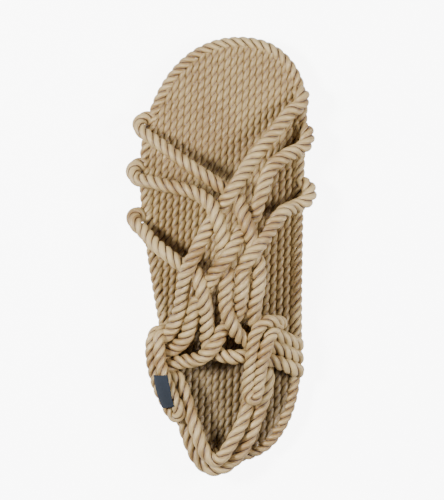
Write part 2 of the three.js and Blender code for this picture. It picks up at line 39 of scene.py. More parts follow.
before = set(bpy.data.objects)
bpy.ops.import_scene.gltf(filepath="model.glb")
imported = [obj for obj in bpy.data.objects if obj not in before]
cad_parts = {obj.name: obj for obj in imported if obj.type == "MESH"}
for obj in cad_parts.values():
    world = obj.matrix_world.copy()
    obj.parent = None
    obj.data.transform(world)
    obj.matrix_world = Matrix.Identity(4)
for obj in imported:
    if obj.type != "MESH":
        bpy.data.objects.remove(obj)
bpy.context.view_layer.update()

# The sizes of the solids, in metres
SOLE_LENGTH = 0.267
BALL_WIDTH = 0.104
HEEL_SEAT = 0.040
OUTSOLE_THICKNESS = 0.005
OUTSOLE_INSET = 0.0024
FOOTBED_THICKNESS = 0.009
RIM_WIDTH = 0.0076
RIM_HEIGHT = 0.0098
ROPE = 0.008
INSTEP_HEIGHT = 0.032
CROSSING = 0.84
TOE_SPRING = 0.004
ARCH_RISE = 0.001
ARCH_FROM = 0.26
ARCH_TO = 0.6
SPRING_FROM = 0.76
CLEARANCE = 0.0003
DOME_MARGIN = 1.04
DOME_POWER = 0.75

# The sizes of what only the dressed sandal has, in metres and in shares
OUTSOLE_BEVEL = 0.001
BRICK_SHOWN = 0.9
TREAD_MARGIN = 0.0034
BRICK_GAP = (0.0011, 0.001)
TREAD_SLANT = math.radians(-35)
TREAD_CENTRE = (-0.0156, 0.09)
CORD_THICKNESS = 0.0042
CORD_OVERLAP = 1.26
CORD_SUNK = 0.0021
FEWEST_CORD_POINTS = 12
BACKING_SUNK = 0.0022
TAUT_PART = 2.4
LOOP_ROPES = {"outer": (0.2, 0.0078), "inner": (0.55, 0.0084)}
HEEL_ROPE = 0.0086
LABEL_THICKNESS = 0.0009

FOOTBED_BOTTOM = OUTSOLE_THICKNESS + CLEARANCE
FOOTBED_TOP = FOOTBED_BOTTOM + FOOTBED_THICKNESS


# A row of a rope's route: across in ball widths and along in sole lengths. With over
# the rope lies on the instep's dome, 1 above a rope that it crosses and -1 below it.
# With rise it lies that many rope diameters above the outsole.
def over(across, along, share):
    return (across, along, share, None)


def rise(across, along, ropes):
    return (across, along, None, ropes)


# The sole's edge from above, from the back of the heel round the outer side
OUTLINE = (
    (0.04, 0.0),
    (-0.1, 0.012),
    (-0.22, 0.042),
    (-0.31, 0.09),
    (-0.37, 0.155),
    (-0.43, 0.255),
    (-0.52, 0.39),
    (-0.6, 0.525),
    (-0.65, 0.64),
    (-0.657, 0.735),
    (-0.61, 0.83),
    (-0.52, 0.905),
    (-0.4, 0.957),
    (-0.25, 0.989),
    (-0.08, 1.0),
    (0.07, 0.991),
    (0.19, 0.962),
    (0.275, 0.918),
    (0.322, 0.86),
    (0.332, 0.76),
    (0.352, 0.6),
    (0.379, 0.43),
    (0.408, 0.26),
    (0.404, 0.17),
    (0.35, 0.092),
    (0.242, 0.033),
)

STRAPS = {
    "outer_front": (
        rise(-0.602, 0.794, 0.7),
        rise(-0.652, 0.792, 1.0),
        rise(-0.681, 0.778, 1.4),
        rise(-0.663, 0.761, 1.9),
        over(-0.59, 0.743, 0),
        over(-0.485, 0.718, 0),
        over(-0.385, 0.693, 0),
        over(-0.27, 0.668, 0),
        over(-0.175, 0.648, -0.7),
        over(-0.1, 0.632, -1),
        over(-0.04, 0.608, -0.3),
        over(-0.012, 0.583, 0.6),
        over(0.018, 0.557, 1),
        over(0.045, 0.527, 0),
        over(0.066, 0.497, -1),
        over(0.098, 0.474, -0.4),
        over(0.11, 0.445, 0),
        over(0.11, 0.415, 0),
        over(0.1, 0.385, 0),
        over(0.098, 0.352, -0.4),
        over(0.125, 0.327, -1),
        over(0.19, 0.315, -0.9),
        rise(0.262, 0.306, 2.7),
        rise(0.335, 0.296, 1.95),
        rise(0.368, 0.291, 1.4),
        rise(0.375, 0.289, 0.85),
        rise(0.355, 0.288, 0.58),
    ),
    "outer_middle": (
        rise(-0.625, 0.683, 0.7),
        rise(-0.676, 0.68, 1.0),
        rise(-0.695, 0.664, 1.4),
        rise(-0.662, 0.647, 1.9),
        over(-0.585, 0.643, 0),
        over(-0.49, 0.637, 0),
        over(-0.4, 0.632, 0),
        over(-0.315, 0.625, 0),
        over(-0.255, 0.614, 0.3),
        over(-0.205, 0.598, 0.8),
        over(-0.17, 0.573, 1),
        over(-0.138, 0.545, 0.6),
        over(-0.12, 0.515, 0),
        over(-0.122, 0.487, -0.8),
        over(-0.105, 0.464, -1),
        over(-0.08, 0.441, -0.4),
        over(-0.08, 0.415, 0),
        over(-0.078, 0.385, 0.2),
        over(-0.062, 0.353, 0.9),
        over(-0.035, 0.331, 1),
        over(0.0, 0.31, 0.6),
        over(0.045, 0.295, -0.2),
        over(0.1, 0.287, -1),
        over(0.175, 0.284, -0.9),
        rise(0.262, 0.279, 2.6),
        rise(0.338, 0.267, 1.95),
        rise(0.374, 0.261, 1.4),
        rise(0.38, 0.258, 0.85),
        rise(0.36, 0.256, 0.58),
    ),
    "outer_rear": (
        rise(-0.605, 0.562, 0.7),
        rise(-0.642, 0.568, 1.0),
        rise(-0.668, 0.56, 1.4),
        rise(-0.657, 0.545, 1.9),
        rise(-0.6, 0.526, 2.35),
        over(-0.53, 0.5, 0),
        over(-0.462, 0.482, 0),
        over(-0.395, 0.465, -0.5),
        over(-0.345, 0.454, -0.9),
        over(-0.3, 0.448, -1),
        over(-0.258, 0.436, -0.2),
        over(-0.23, 0.412, 0.7),
        over(-0.205, 0.38, 1),
        over(-0.182, 0.345, 0.3),
        over(-0.172, 0.31, 0),
        over(-0.168, 0.284, -0.7),
        over(-0.145, 0.263, -1),
        over(-0.1, 0.255, -0.7),
        over(-0.055, 0.252, -0.2),
        over(-0.012, 0.25, 0),
        over(0.03, 0.252, -0.2),
        over(0.09, 0.257, -1),
        over(0.168, 0.253, -0.9),
        rise(0.25, 0.248, 2.5),
        rise(0.34, 0.237, 1.95),
        rise(0.382, 0.23, 1.4),
        rise(0.388, 0.227, 0.85),
        rise(0.358, 0.225, 0.58),
    ),
    "inner_front": (
        rise(0.262, 0.882, 0.9),
        rise(0.282, 0.877, 1.3),
        rise(0.29, 0.864, 1.75),
        rise(0.27, 0.846, 2.05),
        over(0.221, 0.831, 0),
        over(0.178, 0.805, 0),
        over(0.118, 0.769, 0),
        over(0.055, 0.735, 0),
        over(0.018, 0.711, 0),
        over(-0.014, 0.69, 0.2),
        over(-0.045, 0.666, 0.7),
        over(-0.085, 0.638, 1),
        over(-0.122, 0.611, 0),
        over(-0.163, 0.582, -1),
        over(-0.205, 0.552, -0.4),
        over(-0.241, 0.521, 0),
        over(-0.275, 0.487, 0.5),
        over(-0.31, 0.453, 1),
        over(-0.328, 0.424, 0.6),
        over(-0.335, 0.395, 0),
        over(-0.34, 0.365, 0),
        over(-0.352, 0.335, 0),
        over(-0.38, 0.304, 0),
        rise(-0.418, 0.286, 2.6),
        rise(-0.455, 0.275, 2.2),
        rise(-0.475, 0.27, 1.45),
        rise(-0.468, 0.268, 0.85),
        rise(-0.405, 0.267, 0.58),
    ),
    "inner_middle": (
        rise(0.29, 0.798, 0.7),
        rise(0.322, 0.794, 1.0),
        rise(0.338, 0.778, 1.45),
        rise(0.325, 0.757, 1.95),
        rise(0.288, 0.744, 2.2),
        over(0.24, 0.734, 0),
        over(0.184, 0.718, 0),
        over(0.135, 0.697, 0),
        over(0.108, 0.671, 0),
        over(0.087, 0.635, 0),
        over(0.07, 0.605, 0),
        over(0.052, 0.58, -0.7),
        over(0.018, 0.559, -1),
        over(-0.025, 0.54, -0.5),
        over(-0.05, 0.512, 0.2),
        over(-0.077, 0.487, 0.8),
        over(-0.11, 0.467, 1),
        over(-0.147, 0.445, 0.3),
        over(-0.177, 0.42, -0.4),
        over(-0.212, 0.391, -1),
        over(-0.25, 0.363, -0.5),
        over(-0.265, 0.333, 0),
        over(-0.278, 0.308, 0),
        over(-0.302, 0.283, 0),
        over(-0.345, 0.264, 0),
        rise(-0.395, 0.252, 2.45),
        rise(-0.44, 0.243, 2.1),
        rise(-0.468, 0.237, 1.45),
        rise(-0.458, 0.234, 0.85),
        rise(-0.39, 0.233, 0.58),
    ),
    "inner_rear": (
        rise(0.306, 0.668, 0.7),
        rise(0.355, 0.664, 1.0),
        rise(0.378, 0.647, 1.45),
        rise(0.358, 0.627, 1.95),
        rise(0.295, 0.612, 2.4),
        over(0.22, 0.594, 0),
        over(0.172, 0.567, 0),
        over(0.13, 0.535, 0.3),
        over(0.085, 0.508, 1),
        over(0.04, 0.482, 0.6),
        over(0.014, 0.457, 0),
        over(0.013, 0.43, 0),
        over(0.016, 0.4, 0),
        over(0.01, 0.37, -0.3),
        over(-0.01, 0.345, -0.9),
        over(-0.045, 0.328, -1),
        over(-0.085, 0.307, -0.1),
        over(-0.112, 0.281, 0.8),
        over(-0.148, 0.26, 1),
        over(-0.195, 0.243, 0.6),
        over(-0.258, 0.234, 0),
        over(-0.32, 0.228, 0),
        rise(-0.38, 0.218, 2.35),
        rise(-0.425, 0.21, 2.0),
        rise(-0.452, 0.204, 1.45),
        rise(-0.44, 0.201, 0.85),
        rise(-0.372, 0.2, 0.58),
    ),
}

# The share of its girth that a strap has at the sole's side, where it is pulled taut
TAUT_GIRTH = {
    "outer_front": 0.84,
    "outer_middle": 0.92,
    "outer_rear": 0.94,
    "inner_front": 1.0,
    "inner_middle": 1.0,
    "inner_rear": 1.0,
}

LOOPS = {
    "outer": (
        rise(-0.448, 0.297, 1.85),
        rise(-0.475, 0.295, 2.35),
        rise(-0.494, 0.28, 2.85),
        rise(-0.5, 0.26, 2.95),
        rise(-0.494, 0.238, 2.9),
        rise(-0.481, 0.214, 2.85),
        rise(-0.459, 0.188, 2.75),
        rise(-0.434, 0.163, 2.7),
        rise(-0.394, 0.137, 2.65),
        rise(-0.358, 0.114, 2.65),
        rise(-0.323, 0.101, 2.85),
        rise(-0.3, 0.108, 3.2),
        rise(-0.312, 0.126, 3.45),
        rise(-0.337, 0.143, 3.5),
        rise(-0.37, 0.168, 3.5),
        rise(-0.405, 0.196, 3.45),
        rise(-0.434, 0.222, 3.4),
        rise(-0.445, 0.245, 3.4),
        rise(-0.452, 0.265, 3.35),
        rise(-0.456, 0.282, 3.1),
        rise(-0.445, 0.296, 2.4),
        rise(-0.43, 0.303, 1.85),
    ),
    "inner": (
        rise(0.268, 0.337, 1.8),
        rise(0.256, 0.34, 2.5),
        rise(0.222, 0.341, 3.3),
        rise(0.18, 0.339, 3.9),
        rise(0.142, 0.328, 4.15),
        rise(0.116, 0.305, 4.2),
        rise(0.108, 0.275, 4.05),
        rise(0.104, 0.242, 3.8),
        rise(0.1, 0.208, 3.35),
        rise(0.1, 0.176, 3.1),
        rise(0.115, 0.156, 3.05),
        rise(0.143, 0.157, 3.05),
        rise(0.158, 0.178, 3.1),
        rise(0.162, 0.21, 3.35),
        rise(0.171, 0.243, 3.9),
        rise(0.184, 0.274, 4.1),
        rise(0.2, 0.3, 4.0),
        rise(0.222, 0.318, 3.3),
        rise(0.244, 0.329, 2.6),
        rise(0.256, 0.334, 1.8),
    ),
}

HEEL_STRAP = {
    "upper": (
        rise(-0.372, 0.196, 2.2),
        rise(-0.335, 0.193, 2.45),
        rise(-0.288, 0.165, 2.65),
        rise(-0.25, 0.128, 2.75),
        rise(-0.215, 0.094, 2.8),
        rise(-0.178, 0.061, 2.85),
        rise(-0.138, 0.03, 2.85),
        rise(-0.09, 0.009, 2.85),
        rise(-0.045, 0.007, 2.8),
        rise(-0.008, 0.025, 2.7),
        rise(0.028, 0.052, 2.6),
        rise(0.065, 0.082, 2.4),
        rise(0.094, 0.117, 2.15),
        rise(0.112, 0.155, 1.9),
        rise(0.122, 0.192, 1.75),
        rise(0.14, 0.222, 1.72),
        rise(0.18, 0.236, 1.72),
    ),
    "lower": (
        rise(-0.38, 0.197, 2.1),
        rise(-0.365, 0.174, 1.95),
        rise(-0.315, 0.132, 1.85),
        rise(-0.272, 0.088, 1.85),
        rise(-0.226, 0.044, 1.85),
        rise(-0.162, 0.002, 1.9),
        rise(-0.09, -0.016, 1.9),
        rise(-0.02, -0.012, 1.9),
        rise(0.05, 0.008, 1.85),
        rise(0.106, 0.042, 1.8),
        rise(0.148, 0.084, 1.75),
        rise(0.182, 0.13, 1.72),
        rise(0.21, 0.175, 1.72),
        rise(0.216, 0.208, 1.72),
        rise(0.2, 0.232, 1.72),
        rise(0.165, 0.235, 1.72),
    ),
}

# Height of the ropes over the middle of the foot, in instep heights
CROWN = (
    (0.2, 0.36),
    (0.25, 0.46),
    (0.3, 0.56),
    (0.35, 0.72),
    (0.43, 0.95),
    (0.5, 1.0),
    (0.6, 0.88),
    (0.7, 0.66),
    (0.8, 0.42),
    (0.88, 0.25),
    (0.95, 0.12),
)


# Curves and forms


def to_point(across, along):
    return Vector((across * BALL_WIDTH, along * SOLE_LENGTH - HEEL_SEAT, 0.0))


def to_along(y):
    return (y + HEEL_SEAT) / SOLE_LENGTH


def lift(along):
    """How far the sole curves up from the ground at a place along it."""
    if along > SPRING_FROM:
        return TOE_SPRING * ((along - SPRING_FROM) / (1 - SPRING_FROM)) ** 2
    if ARCH_FROM < along < ARCH_TO:
        return ARCH_RISE * math.sin(math.pi * (along - ARCH_FROM) / (ARCH_TO - ARCH_FROM)) ** 2
    return 0.0


def interpolate(table, place):
    if place <= table[0][0]:
        return table[0][1]
    for (a, low), (b, high) in zip(table, table[1:]):
        if place <= b:
            return low + (place - a) / (b - a) * (high - low)
    return table[-1][1]


def smooth_curve(points, closed=False, steps=10):
    """Points close together on the centripetal curve through the given ones."""
    count = len(points)
    found = []
    for i in range(count if closed else count - 1):
        if closed:
            before, start, end, after = (points[(i + k) % count] for k in (-1, 0, 1, 2))
        else:
            start, end = points[i], points[i + 1]
            before = points[i - 1] if i else start * 2 - end
            after = points[i + 2] if i + 2 < count else end * 2 - start
        gap = (end - start).length ** 0.5
        gap_before = (start - before).length ** 0.5
        gap_after = (after - end).length ** 0.5
        leave = (start - before) / gap_before - (end - before) / (gap_before + gap)
        leave = (leave + (end - start) / gap) * gap
        arrive = (end - start) / gap - (after - start) / (gap + gap_after)
        arrive = (arrive + (after - end) / gap_after) * gap
        for k in range(steps):
            t = k / steps
            found.append(
                start
                + leave * t
                + (3 * (end - start) - 2 * leave - arrive) * t ** 2
                + (2 * (start - end) + leave + arrive) * t ** 3
            )
    if not closed:
        found.append(points[-1].copy())
    return found


def evenly(points, count):
    """The closed polygon's points, spaced evenly along it."""
    lengths = [0.0]
    for a, b in zip(points, points[1:] + points[:1]):
        lengths.append(lengths[-1] + (b - a).length)
    found = []
    place = 0
    for i in range(count):
        goal = lengths[-1] * i / count
        while lengths[place + 1] < goal:
            place += 1
        share = (goal - lengths[place]) / (lengths[place + 1] - lengths[place])
        found.append(points[place].lerp(points[(place + 1) % len(points)], share))
    return found


EDGE = evenly(smooth_curve([to_point(*row) for row in OUTLINE], closed=True, steps=16), 320)


def edge(inset):
    """The sole's edge moved inwards."""
    found = []
    for i, point in enumerate(EDGE):
        ahead = (EDGE[(i + 1) % len(EDGE)] - EDGE[i - 1]).normalized()
        found.append(Vector((point.x + ahead.y * inset, point.y - ahead.x * inset, 0)))
    return found


def span(polygon, y):
    """Lowest and highest x of a closed polygon at a place along it."""
    hits = []
    for a, b in zip(polygon, polygon[1:] + polygon[:1]):
        if (a.y > y) != (b.y > y):
            hits.append(a.x + (y - a.y) / (b.y - a.y) * (b.x - a.x))
    return (min(hits), max(hits)) if hits else None


def stations(polygon, count, margin):
    """Sides, place and lift of a closed polygon along it, close together at its ends."""
    low = min(point.y for point in polygon)
    high = max(point.y for point in polygon)
    for i in range(count + 1):
        share = 0.5 - 0.5 * math.cos(math.pi * i / count)
        y = low + (high - low) * min(max(share, margin), 1 - margin)
        left, right = span(polygon, y)
        yield left, right, y, lift(to_along(y))


def dome_height(x, y):
    low, high = span(EDGE, y)
    side = (x - (low + high) / 2) / ((high - low) / 2 * DOME_MARGIN)
    crown = INSTEP_HEIGHT * interpolate(CROWN, to_along(y))
    return FOOTBED_TOP + ROPE / 2 + crown * max(0.0, 1 - side * side) ** DOME_POWER


def route(rows):
    points = []
    for across, along, share, ropes in rows:
        point = to_point(across, along)
        if ropes is None:
            point.z = dome_height(point.x, point.y) + share * CROSSING * ROPE / 2
        else:
            point.z = FOOTBED_BOTTOM + ropes * ROPE
        point.z += lift(along)
        points.append(point)
    return smooth_curve(points)


# Meshes


def new_mesh(name, vertices, faces):
    mesh = bpy.data.meshes.new(name)
    mesh.from_pydata(vertices, [], faces)
    mesh.validate()
    return mesh


def new_object(name, mesh):
    piece = bpy.data.objects.new(name, mesh)
    bpy.context.scene.collection.objects.link(piece)
    return piece


def loft(sections):
    """Vertices and faces of a closed form through sections with as many corners each."""
    corners = len(sections[0])
    vertices = [point for section in sections for point in section]
    faces = []
    for i in range(len(sections) - 1):
        for k in range(corners):
            a, b = i * corners + k, i * corners + (k + 1) % corners
            faces.append((a, a + corners, b + corners, b))
    faces.append(tuple(range(corners)))
    last = (len(sections) - 1) * corners
    faces.append(tuple(last + k for k in reversed(range(corners))))
    return vertices, faces


def outward(mesh):
    """Turns a closed mesh's faces outwards."""
    form = bmesh.new()
    form.from_mesh(mesh)
    bmesh.ops.remove_doubles(form, verts=form.verts, dist=1e-6)
    bmesh.ops.recalc_face_normals(form, faces=form.faces)
    if form.calc_volume(signed=True) < 0:
        bmesh.ops.reverse_faces(form, faces=form.faces)
    form.to_mesh(mesh)
    form.free()


def smooth(mesh):
    mesh.polygons.foreach_set("use_smooth", [True] * len(mesh.polygons))


def paths_object(name, paths, closed=False, phases=None, girths=None):
    """Edges along each path, with the twist and the girth that Geometry Nodes read."""
    vertices, edges, phase, girth = [], [], [], []
    for number, path in enumerate(paths):
        first = len(vertices)
        vertices += path
        edges += [(first + i, first + i + 1) for i in range(len(path) - 1)]
        if closed:
            edges.append((first + len(path) - 1, first))
        phase += [phases[number] if phases else 0.0] * len(path)
        girth += girths[number] if girths else [1.0] * len(path)
    mesh = bpy.data.meshes.new(name)
    mesh.from_pydata(vertices, edges, [])
    mesh.attributes.new("phase", "FLOAT", "POINT").data.foreach_set("value", phase)
    mesh.attributes.new("girth", "FLOAT", "POINT").data.foreach_set("value", girth)
    return new_object(name, mesh)


def apply_nodes(source, tree, values, name):
    """Runs a Geometry Nodes tree on an object and turns the result into a plain mesh."""
    modifier = source.modifiers.new("nodes", "NODES")
    modifier.node_group = tree
    for socket in tree.interface.items_tree:
        if socket.item_type == "SOCKET" and socket.in_out == "INPUT" and socket.name in values:
            modifier[socket.identifier] = values[socket.name]
    evaluated = source.evaluated_get(bpy.context.evaluated_depsgraph_get())
    mesh = bpy.data.meshes.new_from_object(evaluated)
    mesh.name = name
    mesh.materials.clear()
    mesh.materials.append(values["Material"])
    mesh.polygons.foreach_set("material_index", [0] * len(mesh.polygons))
    source.modifiers.remove(modifier)
    bpy.data.objects.remove(source)
    if not mesh.polygons:
        raise RuntimeError("Geometry Nodes made nothing for " + name)
    return new_object(name, mesh)


def finish_piece(piece, nodes):
    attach(piece, "root")
    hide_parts(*nodes)


def lofted_piece(name, sections, material, node):
    mesh = new_mesh(name, *loft(sections))
    outward(mesh)
    mesh.materials.append(material)
    finish_piece(new_object(name, mesh), [node])


# Node trees


def add(tree, kind, inputs=None, **settings):
    """A node with its settings; inputs are values or the sockets that feed them."""
    node = tree.nodes.new(kind)
    for name, value in settings.items():
        setattr(node, name, value)
    for key, value in (inputs or {}).items():
        if isinstance(value, bpy.types.NodeSocket):
            tree.links.new(value, node.inputs[key])
        else:
            node.inputs[key].default_value = value
    return node


def calc(tree, operation, *terms):
    return add(tree, "ShaderNodeMath", dict(enumerate(terms)), operation=operation).outputs[0]


def vector(tree, operation, *terms):
    return add(tree, "ShaderNodeVectorMath", dict(enumerate(terms)), operation=operation).outputs[0]


def scaled(tree, direction, amount):
    return add(
        tree, "ShaderNodeVectorMath", {"Vector": direction, "Scale": amount}, operation="SCALE"
    ).outputs[0]


def socket(tree, name, kind, default=None, output=False):
    made = tree.interface.new_socket(
        name, in_out="OUTPUT" if output else "INPUT", socket_type="NodeSocket" + kind
    )
    if default is not None:
        made.default_value = default


def laid_rope_tree():
    """Lays strands round each path: the strands turn to the right, as in a laid rope."""
    tree = bpy.data.node_groups.new("laid_rope", "GeometryNodeTree")
    socket(tree, "Paths", "Geometry")
    socket(tree, "Width", "Float", 0.008)
    socket(tree, "Height", "Float", 0.008)
    socket(tree, "Lay", "Float", 0.0148)
    socket(tree, "Groove", "Float", 0.3)
    socket(tree, "Roundness", "Float", 2.4)
    socket(tree, "Step", "Float", 0.001)
    socket(tree, "Strands", "Int", 3)
    socket(tree, "Sides", "Int", 24)
    socket(tree, "Material", "Material")
    socket(tree, "Rope", "Geometry", output=True)
    given = add(tree, "NodeGroupInput").outputs

    curve = add(tree, "GeometryNodeMeshToCurve", {"Mesh": given["Paths"]})
    curve = add(
        tree,
        "GeometryNodeResampleCurve",
        {"Curve": curve.outputs[0], "Length": given["Step"]},
        mode="LENGTH",
    )
    along = add(tree, "GeometryNodeCaptureAttribute", domain="POINT")
    for name, kind in (
        ("Place", "VECTOR"),
        ("Up", "VECTOR"),
        ("Ahead", "VECTOR"),
        ("Run", "FLOAT"),
        ("Phase", "FLOAT"),
        ("Girth", "FLOAT"),
    ):
        along.capture_items.new(kind, name)
    tree.links.new(curve.outputs[0], along.inputs["Geometry"])
    tree.links.new(add(tree, "GeometryNodeInputPosition").outputs[0], along.inputs["Place"])
    tree.links.new(add(tree, "GeometryNodeInputNormal").outputs[0], along.inputs["Up"])
    tree.links.new(add(tree, "GeometryNodeInputTangent").outputs[0], along.inputs["Ahead"])
    tree.links.new(add(tree, "GeometryNodeSplineParameter").outputs["Length"], along.inputs["Run"])
    for name in ("Phase", "Girth"):
        read = add(
            tree, "GeometryNodeInputNamedAttribute", {"Name": name.lower()}, data_type="FLOAT"
        )
        tree.links.new(read.outputs["Attribute"], along.inputs[name])

    ring = add(
        tree,
        "GeometryNodeCurvePrimitiveCircle",
        {"Resolution": given["Sides"], "Radius": 0.001},
        mode="RADIUS",
    )
    spot = add(tree, "ShaderNodeSeparateXYZ", {0: add(tree, "GeometryNodeInputPosition").outputs[0]})
    around = add(tree, "GeometryNodeCaptureAttribute", domain="POINT")
    around.capture_items.new("FLOAT", "Angle")
    tree.links.new(ring.outputs[0], around.inputs["Geometry"])
    tree.links.new(calc(tree, "ARCTAN2", spot.outputs[1], spot.outputs[0]), around.inputs["Angle"])
    swept = add(
        tree,
        "GeometryNodeCurveToMesh",
        {"Curve": along.outputs["Geometry"], "Profile Curve": around.outputs["Geometry"]},
    )
    swept.inputs["Fill Caps"].default_value = True

    # How far a corner is from the middle of its strand: 0 there and 1 in the groove
    turns = calc(tree, "DIVIDE", around.outputs["Angle"], 2 * math.pi)
    strand = calc(tree, "MULTIPLY", turns, given["Strands"])
    share = calc(tree, "FRACT", strand)
    groove = calc(tree, "ABSOLUTE", calc(tree, "MULTIPLY_ADD", share, 2.0, -1.0))
    dip = calc(tree, "POWER", groove, given["Roundness"])
    radius = calc(tree, "SUBTRACT", 1.0, calc(tree, "MULTIPLY", dip, given["Groove"]))
    radius = calc(tree, "MULTIPLY", radius, along.outputs["Girth"])

    twist = calc(tree, "DIVIDE", along.outputs["Run"], given["Lay"])
    angle = calc(tree, "ADD", turns, calc(tree, "ADD", twist, along.outputs["Phase"]))
    angle = calc(tree, "MULTIPLY", angle, 2 * math.pi)
    reach_up = calc(tree, "MULTIPLY", calc(tree, "COSINE", angle), radius)
    reach_side = calc(tree, "MULTIPLY", calc(tree, "SINE", angle), radius)
    reach_up = calc(tree, "MULTIPLY", reach_up, calc(tree, "MULTIPLY", given["Height"], 0.5))
    reach_side = calc(tree, "MULTIPLY", reach_side, calc(tree, "MULTIPLY", given["Width"], 0.5))
    side = vector(tree, "CROSS_PRODUCT", along.outputs["Ahead"], along.outputs["Up"])
    place = vector(tree, "ADD", along.outputs["Place"], scaled(tree, along.outputs["Up"], reach_up))
    place = vector(tree, "ADD", place, scaled(tree, side, reach_side))
    moved = add(
        tree, "GeometryNodeSetPosition", {"Geometry": swept.outputs[0], "Position": place}
    ).outputs[0]

    # The place on the untwisted rope and the groove's depth, for the material
    spread = calc(tree, "MULTIPLY", given["Width"], 0.5)
    laid = add(
        tree,
        "ShaderNodeCombineXYZ",
        {
            0: calc(tree, "MULTIPLY", calc(tree, "COSINE", around.outputs["Angle"]), spread),
            1: calc(tree, "MULTIPLY", calc(tree, "SINE", around.outputs["Angle"]), spread),
            2: along.outputs["Run"],
        },
    ).outputs[0]
    for name, kind, value in (("laid", "FLOAT_VECTOR", laid), ("groove", "FLOAT", groove)):
        moved = add(
            tree,
            "GeometryNodeStoreNamedAttribute",
            {"Geometry": moved, "Name": name, "Value": value},
            data_type=kind,
            domain="POINT",
        ).outputs[0]
    shaded = add(tree, "GeometryNodeSetShadeSmooth", {"Geometry": moved}).outputs[0]
    real = add(tree, "GeometryNodeRealizeInstances", {"Geometry": shaded}).outputs[0]
    done = add(
        tree, "GeometryNodeSetMaterial", {"Geometry": real, "Material": given["Material"]}
    ).outputs[0]
    add(tree, "NodeGroupOutput", {0: done})
    return tree


def tread_tree():
    """Sets a small tapered brick on each point of the tread."""
    tree = bpy.data.node_groups.new("brick_tread", "GeometryNodeTree")
    socket(tree, "Points", "Geometry")
    socket(tree, "Brick size", "Vector", (0.0037, 0.003, 0.001))
    socket(tree, "Turn", "Float", 0.0)
    socket(tree, "Material", "Material")
    socket(tree, "Bricks", "Geometry", output=True)
    given = add(tree, "NodeGroupInput").outputs
    half = math.sqrt(0.5)
    brick = add(
        tree,
        "GeometryNodeMeshCone",
        {"Vertices": 4, "Radius Top": half, "Radius Bottom": half * 0.84, "Depth": 1.0},
    ).outputs["Mesh"]
    brick = add(
        tree, "GeometryNodeTransform", {"Geometry": brick, "Rotation": (0, 0, math.pi / 4)}
    ).outputs[0]
    brick = add(
        tree, "GeometryNodeTransform", {"Geometry": brick, "Scale": given["Brick size"]}
    ).outputs[0]
    turn = add(tree, "ShaderNodeCombineXYZ", {2: given["Turn"]}).outputs[0]
    turn = add(tree, "FunctionNodeEulerToRotation", {0: turn}).outputs[0]
    placed = add(
        tree,
        "GeometryNodeInstanceOnPoints",
        {"Points": given["Points"], "Instance": brick, "Rotation": turn},
    ).outputs[0]
    real = add(tree, "GeometryNodeRealizeInstances", {"Geometry": placed}).outputs[0]
    done = add(
        tree, "GeometryNodeSetMaterial", {"Geometry": real, "Material": given["Material"]}
    ).outputs[0]
    add(tree, "NodeGroupOutput", {0: done})
    return tree


# Materials


def colour(red, green, blue):
    """A colour given as a screen shows it, in light's own amounts."""
    return tuple(
        ((c / 255 + 0.055) / 1.055) ** 2.4 if c > 10.3 else c / 255 / 12.92
        for c in (red, green, blue)
    ) + (1.0,)


def dim(shown, share):
    return tuple(c * share for c in shown[:3]) + (1.0,)


def blend_colour(tree, share, first, second):
    node = add(tree, "ShaderNodeMix", data_type="RGBA")
    for place, value in ((0, share), (6, first), (7, second)):
        if isinstance(value, bpy.types.NodeSocket):
            tree.links.new(value, node.inputs[place])
        else:
            node.inputs[place].default_value = value
    return node.outputs[2]


def ramp(tree, value, low, high, start=0.0, end=1.0):
    return add(
        tree,
        "ShaderNodeMapRange",
        {"Value": value, "From Min": low, "From Max": high, "To Min": start, "To Max": end},
        interpolation_type="SMOOTHSTEP",
    ).outputs[0]


def cord_fibre_group():
    """Colour and relief of twisted fibre, on the rope's own straight coordinates, with painted shade in
    the grooves between strands and paler crests.
    """
    tree = bpy.data.node_groups.new("cord_fibre", "ShaderNodeTree")
    socket(tree, "Light", "Color", (0.6, 0.5, 0.35, 1))
    socket(tree, "Shade", "Color", (0.4, 0.3, 0.2, 1))
    socket(tree, "Groove shade", "Color", (0.1, 0.06, 0.03, 1))
    socket(tree, "Groove from", "Float", 0.6)
    socket(tree, "Patches per metre", "Float", 40.0)
    socket(tree, "Fibres per metre", "Float", 1600.0)
    socket(tree, "Color", "Color", output=True)
    socket(tree, "Height", "Float", output=True)
    socket(tree, "Roughness", "Float", output=True)
    given = add(tree, "NodeGroupInput").outputs
    laid = add(tree, "ShaderNodeAttribute", attribute_name="laid").outputs["Vector"]
    groove = add(tree, "ShaderNodeAttribute", attribute_name="groove").outputs["Fac"]
    where = add(tree, "ShaderNodeTexCoord").outputs["Object"]

    drawn = vector(tree, "MULTIPLY", laid, (1.0, 1.0, 0.16))
    fibre = add(
        tree,
        "ShaderNodeTexNoise",
        {"Vector": drawn, "Scale": given["Fibres per metre"], "Detail": 3.0, "Roughness": 0.6},
    ).outputs[0]
    fluff = add(
        tree, "ShaderNodeTexNoise", {"Vector": where, "Scale": 2600.0, "Detail": 2.0}
    ).outputs[0]
    patch = add(
        tree,
        "ShaderNodeTexNoise",
        {"Vector": where, "Scale": given["Patches per metre"], "Detail": 3.0},
    ).outputs[0]
    tint = calc(tree, "MULTIPLY_ADD", fibre, 0.45, calc(tree, "MULTIPLY", patch, 0.55))
    # Painted shade and highlight: the strands are paler on their crests and darker towards the grooves.
    tint = calc(tree, "MULTIPLY_ADD", groove, 0.16, tint)
    body = blend_colour(tree, ramp(tree, tint, 0.45, 0.7), given["Light"], given["Shade"])
    # Painted shade: the colour darkens to the groove shade at the bottom of the grooves between
    # strands.
    depth = ramp(tree, groove, given["Groove from"], 0.96)
    shade = blend_colour(tree, depth, body, given["Groove shade"])
    height = calc(tree, "MULTIPLY", fluff, 0.25)
    height = calc(tree, "ADD", calc(tree, "MULTIPLY", fibre, 0.75), height)
    rough = ramp(tree, fibre, 0.3, 0.7, 0.36, 0.6)
    add(tree, "NodeGroupOutput", {"Color": shade, "Height": height, "Roughness": rough})
    return tree


